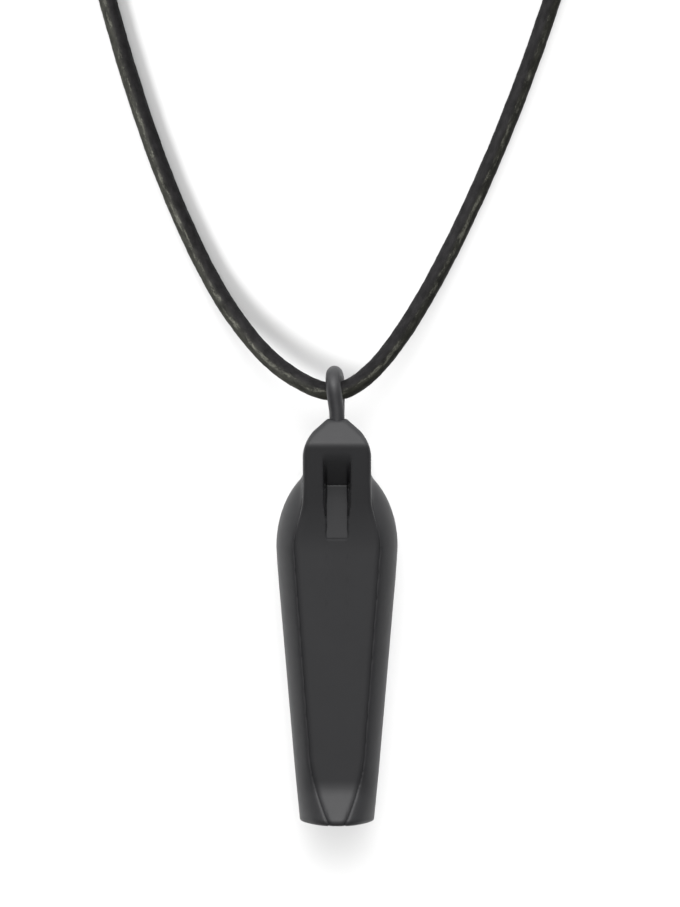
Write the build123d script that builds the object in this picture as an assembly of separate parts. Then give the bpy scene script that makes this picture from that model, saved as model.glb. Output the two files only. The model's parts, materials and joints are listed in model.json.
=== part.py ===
from build123d import *
import os
from math import atan2, cos, degrees, pi, radians, sin, sqrt, tan

# A slim moulded duck call on a leather neck cord. The call lies on its back on Z = 0 with its
# front facing +Z, its mouthpiece at -Y and its cord bail at +Y. Millimetres throughout.

# ---- casing: outline seen from the front ----
TIP_Y = -37.6            # end face of the mouthpiece
NECK_Y = 29.5            # where the bail comes out of the head
WIDEST_Y = 8.33          # station of the greatest width
HALF_WIDTH = 10.2        # half of the greatest width
SHOULDER_LENGTH = 14.0   # the rounded shoulders close over this length above the widest station
TAPER = 0.0859           # half width lost for each mm towards the mouthpiece
HEAD_HALF = 5.6          # half width of the head block
NECK_HALF = 1.45         # half width of the head where it meets the bail
HEAD_SIDE_Y = (16.0, 25.9)   # the head's straight sides run between these stations
HEAD_CORNER_R = 3.8

# ---- casing: heights above the surface that it lies on ----
WIDE_LEVEL = 6.6         # height of the widest line, at the widest station
WIDE_LEVEL_TIP = 5.4     # the same at the mouthpiece
UNDER_BULGE = 0.35       # the round back would reach this far below the flat land
RIDGE = (25.2, 16.45)    # (y, z) of the ridge across the head
NECK_TOP_Z = 14.1        # front of the head where the bail comes out
SWEEP_ANGLE = 15.5       # slope of the hollow sweep below the ridge
PANEL_ANGLE = 3.0        # slope of the long front panel
RAMP_ANGLE = 24.0        # slope of the bite ramp at the mouthpiece
SWEEP_END_Y = 11.5       # the sweep meets the panel here
RAMP_START_Y = -31.6     # the panel meets the bite ramp here
PARTING_Z = 8.6          # the front cover sits in the rear shell down to this level
WALL = 1.6               # thickness of the moulded walls
SWEEP_R = 42             # roundings of the front, seen from the side
RAMP_R = 8.7
RIDGE_R = 1.1
LIP_R = 0.8
LIP_LENGTH = 0.9         # the bite ramp ends this far before the end face

# ---- front panel ----
PANEL_HALF = 7.15        # half width of the panel at the widest station
PANEL_TOP_Y = 7.5        # the panel's straight sides start here
PANEL_TAPER = 0.0744     # half width lost for each mm towards the mouthpiece
VEE_START_Y = -26.0      # the panel closes into a V below this station
VEE_DROP = 2.75          # half width lost over the V
VEE_LENGTH = 10.3
VEE_CURVE = 1.6          # how late the V's sides turn in: 1 would be straight sides

# ---- sound outlet ----
SLOT_HALF = 2.3
SLOT_TOP_Y = 23.4        # the slot's sloping upper wall starts here...
THROAT_Y = 17.9          # ...and ends here, under the ramp's lip
THROAT_Z = 11.15
GAP_LOW_Y = 12.4         # the narrow gaps beside the ramp run from here...
GAP_TOP_Y = 22.4         # ...to here, up both sides of the upper wall
GAP_DEPTH = 0.9          # their depth in the upper wall
SLOT_LOW_Y = 10.5        # root of the sound ramp
LIP_Y = 18.6             # free edge of the sound ramp
LIP_THICK = 0.35
RAMP_HALF = 1.75
RAMP_SEAT_Z = 11.2       # floor of the recess that holds the ramp's root
RAMP_SEAT_Y = 14.0
RAMP_LIP_Z = 12.3        # height of the ramp's free edge
CHAMBER_HALF = 2.6
CHAMBER_FLOOR = 3.4

# ---- bail ----
BAIL_WIRE = 2.5
BAIL_LEG_GAP = 7.2       # between the centre lines of its two legs
BAIL_TOP_Y = 38.3
BAIL_FOOT_Y = 23.6
BAIL_BEND_Y = 30.4       # the crown starts to lean here
BAIL_LEAN = 0.95         # the crown's front leans this far towards -X
BAIL_FRONT_Z = NECK_TOP_Z - BAIL_WIRE / 2
BAIL_BACK_Z = BAIL_FRONT_Z - BAIL_LEG_GAP

# ---- air passage and tone insert ----
INLET = (7.4, 4.4)       # width and height of the hole in the mouthpiece
INLET_Z = 5.6
INLET_END_Y = -30.5
SLEEVE_WALL = 0.7
SEAT = (14.6, 8.4)       # width and height of the pocket for the tone plug
SEAT_Z = 5.9
SEAT_LOW_Y = 3.0
SEAT_TOP_Y = 12.5
SEAT_CORNER = 3.5
SEAL_LOW_Y = 9.6         # the groove for the plug's seal
SEAL_TOP_Y = 10.9
SEAL_DEPTH = 0.9
BOARD_HALF = 4.2
BOARD_TIP_Y = -21.5
BOARD_TOP_Z = 7.2
BOARD_LOW_Z = 3.6
BOARD_FALL = 2.8         # degrees; the board's face falls away below the reed
MORTISE_END_Y = 8.5
MORTISE_TOP_Z = 9.2
TONE_HOLE_R = 2.0
TONE_HOLE_Z = 5.7
REED_HALF = 3.5
REED_THICK = 0.3
REED_Z = 7.45            # middle of the reed's thickness
REED_PLAY = 0.1          # room above and below the reed in its clamp

# ---- neck cord ----
CORD = 3.0               # diameter
FLOOR_Z = CORD / 2
COIL_R = 16.1            # radius of a put-away turn, at the middle of the cord
COIL_LAYER = 3.05        # the second pass lies this far above the first
LEFT_EXIT = 105          # degrees; where the cord leaves each turn for its end cap
RIGHT_EXIT = 75
ROUTE = [
    (-45.4, 124.2, FLOOR_Z),
    (-40.4, 106.5, FLOOR_Z),
    (-35.0, 87.0, FLOOR_Z),
    (-28.6, 68.5, FLOOR_Z),
    (-20.4, 50.9, FLOOR_Z + 0.3),
    (-12.4, 40.2, 5.4),
    (-6.0, 35.5, 8.5),
    (-0.7, 33.5, 9.25),
    (4.3, 35.6, 8.5),
    (10.4, 42.6, 5.2),
    (18.0, 55.5, FLOOR_Z + 0.3),
    (26.2, 73.0, FLOOR_Z),
    (33.2, 91.0, FLOOR_Z),
    (38.6, 107.5, FLOOR_Z),
    (44.1, 123.6, FLOOR_Z),
]

# ---- cord ends and clasp, in a line along X between the two put-away turns ----
CLOSURE_Y = 148.2
CLOSURE_Z = 2.35
CAP_OUT = 17.0           # the end caps reach from here...
CAP_IN = 11.0            # ...to here, either side of X = 0
CAP_R = 2.1
CAP_BORE_DEPTH = 5.0
EYE_R = 0.95             # fixed eyes on the caps and the clasp, at the middle of the wire
EYE_X = 9.9
RING_WIRE = 0.8
RING_R = 1.9
RING_X = 8.0
CLASP_X = -0.4
CLASP_SIZE = (9.2, 5.8, 2.4)
CLASP_EYE_X = -6.1
GATE_PIVOT = (-2.9, -1.95)   # from the clasp's middle
GATE_REACH = 5.6
GATE_THICK = 1.1

os.makedirs("parts", exist_ok=True)


# =====================================================================================
# Outline and height rules of the casing
# =====================================================================================

def slope(angle):
    return tan(radians(angle))


SWEEP_END = (SWEEP_END_Y, RIDGE[1] - (RIDGE[0] - SWEEP_END_Y) * slope(SWEEP_ANGLE))
RAMP_START = (RAMP_START_Y, SWEEP_END[1] - (SWEEP_END_Y - RAMP_START_Y) * slope(PANEL_ANGLE))
LIP_TOP = (TIP_Y + LIP_LENGTH,
           RAMP_START[1] + (RAMP_START_Y - TIP_Y - LIP_LENGTH) * slope(RAMP_ANGLE))


def panel_height(y):
    """Height of the front panel, with the bite ramp blended in."""
    panel = SWEEP_END[1] - (SWEEP_END_Y - y) * slope(PANEL_ANGLE)
    ramp = RAMP_START[1] + (RAMP_START_Y - y) * slope(RAMP_ANGLE)
    softness = 0.5
    return (panel + ramp) / 2 + sqrt(((panel - ramp) / 2) ** 2 + softness ** 2 / 4)


def panel_half(y):
    """Half width of the front panel."""
    half = PANEL_HALF - PANEL_TAPER * (WIDEST_Y - y)
    if y < VEE_START_Y:
        half = half + PANEL_TAPER * (VEE_START_Y - y)
        half -= VEE_DROP * ((VEE_START_Y - y) / VEE_LENGTH) ** VEE_CURVE
    return half


def wide_level(y):
    """Height of the widest line of the casing."""
    along = (min(y, WIDEST_Y) - TIP_Y) / (WIDEST_Y - TIP_Y)
    return WIDE_LEVEL_TIP + (WIDE_LEVEL - WIDE_LEVEL_TIP) * along


def half_width(y):
    """Half width of the casing below its widest station."""
    rounding = 0.11 * (1 - min(1, (WIDEST_Y - y) / 6)) ** 2
    tuck = 0.004 * max(0, -28 - y) ** 1.5
    return HALF_WIDTH - rounding - TAPER * (WIDEST_Y - y) - tuck


def casing_section(y, inset):
    """One cross-section: a flatter half ellipse below, a taller one above."""
    station = min(y, WIDEST_Y)
    level = wide_level(station)
    ratio = panel_half(station) / half_width(station)
    above = (panel_height(station) - level) / sqrt(1 - ratio ** 2)
    below = level + UNDER_BULGE
    close = sqrt(1 - ((y - station) / SHOULDER_LENGTH) ** 2)
    half = half_width(station) * close - inset
    above = above * close - inset
    below = below * close - inset
    plane = Plane(origin=(0, y, level), x_dir=(1, 0, 0), z_dir=(0, -1, 0))
    upper = EllipticalCenterArc((0, 0), half, above, start_angle=0, arc_size=180)
    lower = EllipticalCenterArc((0, 0), half, below, start_angle=180, arc_size=180)
    return plane * make_face(Wire([upper, lower]))


def casing_loft(inset, low_y, top_y):
    """The casing's round body between two stations, thinned by inset."""
    below = [y for y in (-36, -33, -29, -24, -14, -4, 4) if low_y + 1 < y < top_y - 1]
    above = [WIDEST_Y + SHOULDER_LENGTH * sin(radians(a)) for a in (0, 15, 30, 42, 52)]
    above = [y for y in above if y < top_y - 0.5]
    stations = [low_y] + below + above + [top_y]
    return loft([casing_section(y, inset) for y in stations])


def front_profile(drop=0.0):
    """Side view of everything below the casing's front, lowered by drop."""
    ridge = (RIDGE[0], RIDGE[1] - drop)
    front = FilletPolyline(
        (NECK_Y + 3, NECK_TOP_Z - drop - 1.6),
        ridge,
        (SWEEP_END[0], SWEEP_END[1] - drop),
        (RAMP_START[0], RAMP_START[1] - drop),
        (LIP_TOP[0], LIP_TOP[1] - drop),
        (TIP_Y - 0.4, LIP_TOP[1] - drop - 1.3),
        radius=[RIDGE_R, SWEEP_R, RAMP_R, LIP_R],
    )
    end = Polyline((TIP_Y - 0.4, LIP_TOP[1] - drop - 1.3), (TIP_Y - 3, 5), (TIP_Y - 3, -3),
                   (NECK_Y + 3, -3), (NECK_Y + 3, NECK_TOP_Z - drop - 1.6))
    face = Plane.YZ * make_face(Wire(front.edges() + end.edges()))
    return extrude(face, 14, both=True)


def cover_outline():
    """Outline of the head and front panel seen from the front, as a face on Z = 0."""
    side = HEAD_HALF
    low_side_y, top_side_y = HEAD_SIDE_Y
    top_half = panel_half(PANEL_TOP_Y)
    vee_half = panel_half(VEE_START_Y)
    vee_mid_y = (VEE_START_Y + TIP_Y) / 2
    tip_half = panel_half(TIP_Y + 0.5)
    neck = FilletPolyline((0, NECK_Y), (NECK_HALF, NECK_Y), (side, top_side_y), (side, low_side_y),
                          radius=[0.01, HEAD_CORNER_R])
    shoulder = Spline((side, low_side_y), (top_half, PANEL_TOP_Y),
                      tangents=[(0, -1), (-PANEL_TAPER, -1)])
    panel = Line((top_half, PANEL_TOP_Y), (vee_half, VEE_START_Y))
    vee = Spline((vee_half, VEE_START_Y), (panel_half(vee_mid_y), vee_mid_y), (tip_half, TIP_Y + 0.5),
                 tangents=[(-PANEL_TAPER, -1), (-VEE_DROP * VEE_CURVE / VEE_LENGTH, -1)])
    end = Polyline((tip_half, TIP_Y + 0.5), (tip_half - 0.9, TIP_Y - 1.5), (0, TIP_Y - 1.5))
    right = Wire(neck.edges() + shoulder.edges() + panel.edges() + vee.edges() + end.edges())
    left = mirror(right, Plane.YZ)
    return make_face(Wire(right.edges() + left.edges()))


# =====================================================================================
# Casing
# =====================================================================================

def slab(points, half):
    """A straight-sided block: a side view drawn as (y, z) points, extruded along X."""
    face = Plane.YZ * make_face(Polyline(*points, close=True))
    return extrude(face, half, both=True)


def rounded_bar(low_y, top_y, size, corner, z):
    """A bar of rounded rectangular section along Y."""
    plane = Plane(origin=(0, low_y, z), x_dir=(1, 0, 0), z_dir=(0, 1, 0))
    return extrude(plane * RectangleRounded(size[0], size[1], corner), top_y - low_y)


def bar_along_y(low_y, top_y, half, low_z, top_z):
    size_y = top_y - low_y
    size_z = top_z - low_z
    return Pos(0, low_y + size_y / 2, low_z + size_z / 2) * Box(2 * half, size_y, size_z)


def wire_along(path, diameter):
    """A round wire or cord whose middle follows a path."""
    section = Plane(origin=path @ 0, z_dir=path % 0) * Circle(diameter / 2)
    return sweep(section, path=path)


def bail_loop():
    """The bent wire loop of the bail; its lower crown and butt joint are trapped in the head."""
    middle_z = (BAIL_FRONT_Z + BAIL_BACK_Z) / 2
    top_y = BAIL_TOP_Y - BAIL_WIRE / 2
    path = FilletPolyline(
        (0, BAIL_FOOT_Y, middle_z - 0.02),
        (0, BAIL_FOOT_Y, BAIL_BACK_Z),
        (0, BAIL_BEND_Y, BAIL_BACK_Z),
        (0.15, top_y, BAIL_BACK_Z),
        (-BAIL_LEAN, top_y, BAIL_FRONT_Z),
        (0, BAIL_BEND_Y, BAIL_FRONT_Z),
        (0, BAIL_FOOT_Y, BAIL_FRONT_Z),
        (0, BAIL_FOOT_Y, middle_z + 0.02),
        radius=[1.3, 10, 3.55, 3.55, 10, 1.3],
    )
    return wire_along(path, BAIL_WIRE)


def bail_channel():
    """The bores in the head that hold the bail's two legs and the bar between them."""
    radius = BAIL_WIRE / 2
    reach = NECK_Y + 2 - BAIL_FOOT_Y
    leg = Pos(0, BAIL_FOOT_Y + reach / 2, 0) * Cylinder(radius, reach, rotation=(90, 0, 0))
    bar = Pos(0, BAIL_FOOT_Y, (BAIL_FRONT_Z + BAIL_BACK_Z) / 2) * Cylinder(radius, BAIL_LEG_GAP)
    return Pos(0, 0, BAIL_FRONT_Z) * leg + Pos(0, 0, BAIL_BACK_Z) * leg + bar


def tone_plug_space():
    return rounded_bar(SEAT_LOW_Y, SEAT_TOP_Y, SEAT, SEAT_CORNER, SEAT_Z)


def air_space():
    """Everything hollow inside the casing: mouth bore, reed chamber, plug seat, outlet chamber."""
    inlet = rounded_bar(TIP_Y - 2, INLET_END_Y + 0.6, INLET, INLET[1] / 2 - 0.01, INLET_Z)
    reed_chamber = casing_loft(WALL, INLET_END_Y, SEAT_LOW_Y + 0.01) & front_profile(drop=1.8)
    chamber = bar_along_y(SEAT_TOP_Y - 0.01, THROAT_Y, CHAMBER_HALF, CHAMBER_FLOOR, THROAT_Z - 1.4)
    return [inlet, reed_chamber, tone_plug_space(), chamber]


def outlet_slot():
    """The slot in the head: a sloping upper wall over a through cut, the narrow gaps beside the
    ramp, and the recess for the ramp's root."""
    top = 19.0
    rise = SWEEP_END[1] + (SLOT_TOP_Y - SWEEP_END_Y) * slope(SWEEP_ANGLE) - THROAT_Z
    lean = (SLOT_TOP_Y - THROAT_Y) / rise
    wall_top_y = THROAT_Y + lean * (top - THROAT_Z)
    through = slab([(RAMP_SEAT_Y, top), (RAMP_SEAT_Y, PARTING_Z), (THROAT_Y, PARTING_Z),
                    (THROAT_Y, THROAT_Z), (wall_top_y, top)], SLOT_HALF)
    gap_top_z = THROAT_Z + (GAP_TOP_Y - THROAT_Y) / lean
    gaps = slab([(GAP_LOW_Y, top), (GAP_LOW_Y + 0.6, PARTING_Z), (THROAT_Y, PARTING_Z),
                 (THROAT_Y, THROAT_Z - GAP_DEPTH), (GAP_TOP_Y, gap_top_z - GAP_DEPTH),
                 (GAP_TOP_Y, top)], SLOT_HALF) - slab([(0, 0), (40, 0), (40, top + 1), (0, top + 1)],
                                                      RAMP_HALF)
    recess = slab([(SLOT_LOW_Y, top), (SLOT_LOW_Y, RAMP_SEAT_Z), (RAMP_SEAT_Y + 0.1, RAMP_SEAT_Z),
                   (RAMP_SEAT_Y + 0.1, top)], RAMP_HALF)
    return [through, recess] + list(gaps.solids())


def cover_pins():
    pin = Pos(0, 0, 8.4) * Cylinder(0.75, 4.6)
    return [Pos(x, y, 0) * pin for x in (-4.1, 4.1) for y in (15.4, 22.3)]


def front_cover():
    """The head's front and the long panel, in one piece that drops into the rear shell."""
    outline = Pos(0, 0, PARTING_Z) * cover_outline()
    cover = extrude(outline, 12) & front_profile()
    cover = cover & Pos(0, TIP_Y + 50, 0) * Box(100, 100, 100)
    for space in air_space() + outlet_slot() + cover_pins() + [bail_channel()]:
        cover = cover - space
    return cover


def rear_shell():
    """The round back of the call, with the pocket that the front cover drops into."""
    ground = Pos(0, 0, 50) * Box(200, 200, 100)
    body = casing_loft(0, TIP_Y, 20.8) & ground
    head = extrude(cover_outline(), PARTING_Z)
    head_side = slab([(12, 0.4), (24.8, 1.5), (NECK_Y, BAIL_BACK_Z - BAIL_WIRE / 2),
                      (NECK_Y + 1, NECK_TOP_Z), (12, NECK_TOP_Z)], 20)
    shell = body + (head & head_side)
    shell = shell - extrude(Pos(0, 0, PARTING_Z) * cover_outline(), 12)
    for space in air_space() + cover_pins() + [bail_channel()]:
        shell = shell - space
    return shell


# =====================================================================================
# Inside the call
# =====================================================================================

def sound_ramp():
    """The ramp in the outlet slot: flush with the sweep at its root, a thin lip at its free edge."""
    root_z = RAMP_LIP_Z + 0.5
    top = Spline((SLOT_LOW_Y, root_z), (RAMP_SEAT_Y, RAMP_LIP_Z + 0.08), (LIP_Y, RAMP_LIP_Z),
                 tangents=[(1, -0.17), (1, 0)])
    under_y = THROAT_Y - 1.5
    rest = Polyline((LIP_Y, RAMP_LIP_Z), (LIP_Y, RAMP_LIP_Z - LIP_THICK), (under_y, RAMP_SEAT_Z),
                    (SLOT_LOW_Y, RAMP_SEAT_Z), (SLOT_LOW_Y, root_z))
    face = Plane.YZ * make_face(Wire(top.edges() + rest.edges()))
    return extrude(face, RAMP_HALF, both=True)


def inlet_sleeve():
    bore = (INLET[0] - 2 * SLEEVE_WALL, INLET[1] - 2 * SLEEVE_WALL)
    outside = rounded_bar(TIP_Y + 0.3, INLET_END_Y - 0.5, INLET, INLET[1] / 2 - 0.01, INLET_Z)
    inside = rounded_bar(TIP_Y - 1, INLET_END_Y + 1, bore, bore[1] / 2 - 0.01, INLET_Z)
    return outside - inside


def plug_seal():
    """The rubber ring round the tone plug, sunk in a groove."""
    ring = rounded_bar(SEAL_LOW_Y, SEAL_TOP_Y, SEAT, SEAT_CORNER, SEAT_Z)
    hole_size = (SEAT[0] - 2 * SEAL_DEPTH, SEAT[1] - 2 * SEAL_DEPTH)
    hole = rounded_bar(SEAL_LOW_Y - 1, SEAL_TOP_Y + 1, hole_size, SEAT_CORNER - SEAL_DEPTH, SEAT_Z)
    return ring - hole


def tone_plug():
    """Closes the bore behind the reed; holds the tone board in a mortise and lets sound through."""
    fit = 0.05
    size = (SEAT[0] - 2 * fit, SEAT[1] - 2 * fit)
    plug = rounded_bar(SEAT_LOW_Y, SEAT_TOP_Y, size, SEAT_CORNER - fit, SEAT_Z)
    mortise = bar_along_y(SEAT_LOW_Y - 1, MORTISE_END_Y, BOARD_HALF, BOARD_LOW_Z, MORTISE_TOP_Z)
    hole = Cylinder(TONE_HOLE_R, 12, rotation=(90, 0, 0))
    hole = Pos(0, MORTISE_END_Y + 5, TONE_HOLE_Z) * hole
    return plug - mortise - hole - plug_seal()


def tone_board():
    """Carries the reed over an open channel; its face falls away towards the mouthpiece."""
    fall = (SEAT_LOW_Y - BOARD_TIP_Y) * slope(BOARD_FALL)
    side = slab([(MORTISE_END_Y, BOARD_LOW_Z), (MORTISE_END_Y, BOARD_TOP_Z),
                 (SEAT_LOW_Y + 1, BOARD_TOP_Z), (BOARD_TIP_Y, BOARD_TOP_Z - fall),
                 (BOARD_TIP_Y, BOARD_LOW_Z + 0.9), (BOARD_TIP_Y + 2.5, BOARD_LOW_Z)], BOARD_HALF)
    channel = bar_along_y(BOARD_TIP_Y + 3, MORTISE_END_Y + 1, TONE_HOLE_R, BOARD_LOW_Z + 0.8, 9)
    return side - channel


def reed():
    strip = Pos(0, (MORTISE_END_Y - 0.3 + BOARD_TIP_Y + 0.4) / 2, REED_Z)
    length = MORTISE_END_Y - 0.3 - BOARD_TIP_Y - 0.4
    plate = strip * Box(2 * REED_HALF, length, REED_THICK)
    tip_edges = plate.edges().filter_by(Axis.Z).group_by(Axis.Y)[0]
    return fillet(tip_edges, 2.2)


def reed_wedge():
    """The cork wedge that holds the reed's root down."""
    low_z = REED_Z + REED_THICK / 2 + REED_PLAY
    return slab([(SEAT_LOW_Y + 0.4, low_z), (MORTISE_END_Y - 0.2, low_z),
                 (MORTISE_END_Y - 0.2, MORTISE_TOP_Z), (SEAT_LOW_Y + 0.4, MORTISE_TOP_Z - 0.4)],
                REED_HALF + 0.4)


# =====================================================================================
# Neck cord
# =====================================================================================

def arc_radii(points):
    """At each corner of a route, the largest arc that its two runs allow."""
    radii = []
    for before, corner, after in zip(points, points[1:], points[2:]):
        first = Vector(corner) - Vector(before)
        second = Vector(after) - Vector(corner)
        turn = radians(first.get_angle(second))
        radii.append(0.45 * min(first.length, second.length) / tan(turn / 2))
    return radii


def cord_along(points, name):
    radii = arc_radii(points)
    path = FilletPolyline(*points, radius=radii)
    solid = wire_along(path, CORD)
    ideal = pi * CORD ** 2 / 4 * path.length
    print(f"{name}: {path.length:.1f} mm, volume {solid.volume / ideal:.4f} of ideal, radii",
          [round(r, 1) for r in radii])
    return solid


def coil_centre(route_end, before, way):
    """Middle and join angle of the turn that the cord runs onto at the end of its route."""
    heading = atan2(route_end[1] - before[1], route_end[0] - before[0])
    join = heading - way * pi / 2
    return (route_end[0] - COIL_R * cos(join), route_end[1] - COIL_R * sin(join)), degrees(join)


def coil(centre, join, leave, way):
    """Outer shape of a put-away turn, with a second pass on top of it up to where it leaves."""
    axis = Axis((centre[0], centre[1], 0), (0, 0, way))
    at = radians(join)
    start = Plane(origin=(centre[0] + COIL_R * cos(at), centre[1] + COIL_R * sin(at), COIL_LAYER / 2),
                  x_dir=(cos(at), sin(at), 0), z_dir=(way * sin(at), -way * cos(at), 0))
    section = start * RectangleRounded(CORD, COIL_LAYER, 1.2)
    lower = revolve(section, axis, revolution_arc=325)
    upper = revolve(Pos(0, 0, COIL_LAYER - 0.05) * section, axis,
                    revolution_arc=(way * (leave - join)) % 360)
    return lower + upper


def tail(centre, leave, way):
    """The cord's last stretch, from the top of its coil down into its end cap."""
    high = COIL_LAYER + FLOOR_Z
    at = radians(leave)
    heading = (-way * sin(at), way * cos(at))
    exit_x = centre[0] + COIL_R * cos(at)
    exit_y = centre[1] + COIL_R * sin(at)
    points = [
        (exit_x, exit_y, high),
        (exit_x + 6 * heading[0], exit_y + 6 * heading[1], high),
        (way * (CAP_OUT + 4.3), CLOSURE_Y, CLOSURE_Z),
        (way * (CAP_OUT - CAP_BORE_DEPTH), CLOSURE_Y, CLOSURE_Z),
    ]
    return cord_along(points, "tail")


# =====================================================================================
# Cord ends and clasp
# =====================================================================================

def flat_eye(x, z):
    return Pos(x, CLOSURE_Y, z) * Torus(EYE_R, RING_WIRE / 2)


def end_cap(side):
    """A glued cap over the cord's end, with a fixed eye."""
    half = Polyline((CAP_OUT, CORD / 2 + 0.01), (CAP_OUT, CAP_R - 0.3), (CAP_OUT - 0.3, CAP_R),
                    (CAP_IN + 0.8, CAP_R), (CAP_IN, CAP_R - 0.8), (CAP_IN, 0),
                    (CAP_OUT - CAP_BORE_DEPTH, 0), (CAP_OUT - CAP_BORE_DEPTH, CORD / 2 + 0.01),
                    close=True)
    cap = revolve(make_face(half), Axis.X)
    cap = Pos(0, CLOSURE_Y, CLOSURE_Z) * cap + flat_eye(EYE_X, CLOSURE_Z)
    if side == "left":
        cap = mirror(cap, Plane.YZ)
    return cap


def jump_ring(x):
    upright_ring = Torus(RING_R, RING_WIRE / 2, rotation=(90, 0, 0))
    return Pos(x, CLOSURE_Y, CLOSURE_Z) * upright_ring


def at_clasp(shape):
    return Pos(CLASP_X, CLOSURE_Y, CLOSURE_Z) * shape


def at_gate_pivot(shape):
    return at_clasp(Pos(GATE_PIVOT[0], GATE_PIVOT[1], 0) * shape)


def clasp_body():
    """A flat hooked frame with one side open for the gate, and a fixed eye at its back."""
    length, width, thick = CLASP_SIZE
    frame = extrude(RectangleRounded(length, width, width / 2 - 0.01), thick / 2, both=True)
    frame = chamfer(frame.faces().filter_by(Axis.Z).edges(), 0.5)
    window = Pos(0.55, 0.15, 0) * extrude(RectangleRounded(6.1, 2.9, 1.4), thick, both=True)
    mouth = Pos(0.65, -1.95, 0) * Box(4.0, 2.3, 2 * thick)
    heel_slot = Pos(GATE_PIVOT[0] + 0.35, -2.0, 0) * Box(2.6, 2.2, 1.5)
    frame = frame - window - mouth - heel_slot
    frame = at_clasp(frame) + flat_eye(CLASP_EYE_X, CLOSURE_Z)
    return frame - gate_pin()


def gate_pin():
    return at_gate_pivot(Cylinder(0.3, CLASP_SIZE[2] - 0.1))


def clasp_gate():
    """The sprung side of the clasp, with the tab that the thumb pulls."""
    bar = Pos(GATE_REACH / 2 - 0.2, 0.05, 0) * Box(GATE_REACH - 0.4, 0.9, GATE_THICK)
    heel = Cylinder(0.8, GATE_THICK)
    tab = Pos(-0.3, -1.5, 0) * Box(0.8, 1.9, GATE_THICK)
    gate = bar + heel + tab
    gate = gate - Cylinder(0.35, 4)
    return at_gate_pivot(Pos(0, 0, 0.15) * gate)


def gate_spring():
    """A torsion spring round the gate's pin, one leg against the frame and one on the gate."""
    ring = Torus(0.55, 0.1)
    frame_leg = Pos(0.1, 0.85, 0) * Cylinder(0.1, 0.9, rotation=(90, 0, 0))
    gate_leg = Pos(1.3, -0.45, 0) * Cylinder(0.1, 1.9, rotation=(0, 90, 0))
    return at_gate_pivot(Pos(0, 0, -0.57) * (ring + frame_leg + gate_leg))


# =====================================================================================
# Write every sub-part
# =====================================================================================

def main():
    left_centre, left_join = coil_centre(ROUTE[0], ROUTE[1], -1)
    right_centre, right_join = coil_centre(ROUTE[-1], ROUTE[-2], 1)
    pieces = {
        "rear_shell": rear_shell(),
        "front_cover": front_cover(),
        "bail": bail_loop(),
        "cover_pins": Compound(children=cover_pins()),
        "sound_ramp": sound_ramp(),
        "inlet_sleeve": inlet_sleeve(),
        "tone_plug": tone_plug(),
        "plug_seal": plug_seal(),
        "tone_board": tone_board(),
        "reed": reed(),
        "reed_wedge": reed_wedge(),
        "neck_cord": cord_along(ROUTE, "neck cord"),
        "left_coil": coil(left_centre, left_join, LEFT_EXIT, -1),
        "right_coil": coil(right_centre, right_join, RIGHT_EXIT, 1),
        "left_tail": tail(left_centre, LEFT_EXIT, -1),
        "right_tail": tail(right_centre, RIGHT_EXIT, 1),
        "left_end_cap": end_cap("left"),
        "right_end_cap": end_cap("right"),
        "clasp_ring": jump_ring(-RING_X),
        "closing_ring": jump_ring(RING_X),
        "clasp_body": clasp_body(),
        "clasp_gate": clasp_gate(),
        "gate_pin": gate_pin(),
        "gate_spring": gate_spring(),
    }
    for node, shape in pieces.items():
        export_step(shape, f"parts/{node}.step")


main()
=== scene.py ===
"""A slim duck call on a leather neck cord, lying on a white table, seen from straight above.

Metres in Blender. The casing's outline rules are in millimetres, as they are drawn, and its
points are scaled when its mesh is made.
"""
import json
import math

import bpy
import numpy as np
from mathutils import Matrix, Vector

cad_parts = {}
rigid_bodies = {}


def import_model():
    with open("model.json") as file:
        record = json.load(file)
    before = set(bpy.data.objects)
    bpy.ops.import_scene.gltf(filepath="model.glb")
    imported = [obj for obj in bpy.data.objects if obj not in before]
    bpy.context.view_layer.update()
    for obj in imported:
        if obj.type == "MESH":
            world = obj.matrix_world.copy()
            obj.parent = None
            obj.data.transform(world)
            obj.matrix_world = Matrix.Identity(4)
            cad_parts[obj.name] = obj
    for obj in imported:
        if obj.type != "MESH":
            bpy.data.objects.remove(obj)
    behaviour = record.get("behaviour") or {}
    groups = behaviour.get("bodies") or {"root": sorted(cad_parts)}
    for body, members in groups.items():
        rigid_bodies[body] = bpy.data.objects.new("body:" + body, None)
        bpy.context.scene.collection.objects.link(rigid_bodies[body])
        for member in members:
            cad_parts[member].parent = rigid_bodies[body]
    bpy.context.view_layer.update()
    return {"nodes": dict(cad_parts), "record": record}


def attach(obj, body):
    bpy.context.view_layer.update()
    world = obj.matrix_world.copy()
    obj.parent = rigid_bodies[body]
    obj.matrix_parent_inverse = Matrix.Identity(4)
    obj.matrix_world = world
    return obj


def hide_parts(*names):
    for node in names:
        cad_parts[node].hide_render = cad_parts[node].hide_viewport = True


MM = 0.001
CORD = 0.003             # diameter of the neck cord
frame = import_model()
nodes = frame["nodes"]


# =====================================================================================
# Camera
# =====================================================================================

CAMERA_AT = (0.0005, 0.02375, 0.457)
CAMERA_LENS = 107.3
SENSOR = 36.0


def make_camera():
    """The photo's view, straight down."""
    data = bpy.data.cameras.new("camera")
    data.lens = CAMERA_LENS
    data.sensor_width = SENSOR
    camera = bpy.data.objects.new("camera", data)
    camera.location = CAMERA_AT
    bpy.context.scene.collection.objects.link(camera)
    bpy.context.scene.camera = camera


make_camera()


# =====================================================================================
# Materials
# =====================================================================================

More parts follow.
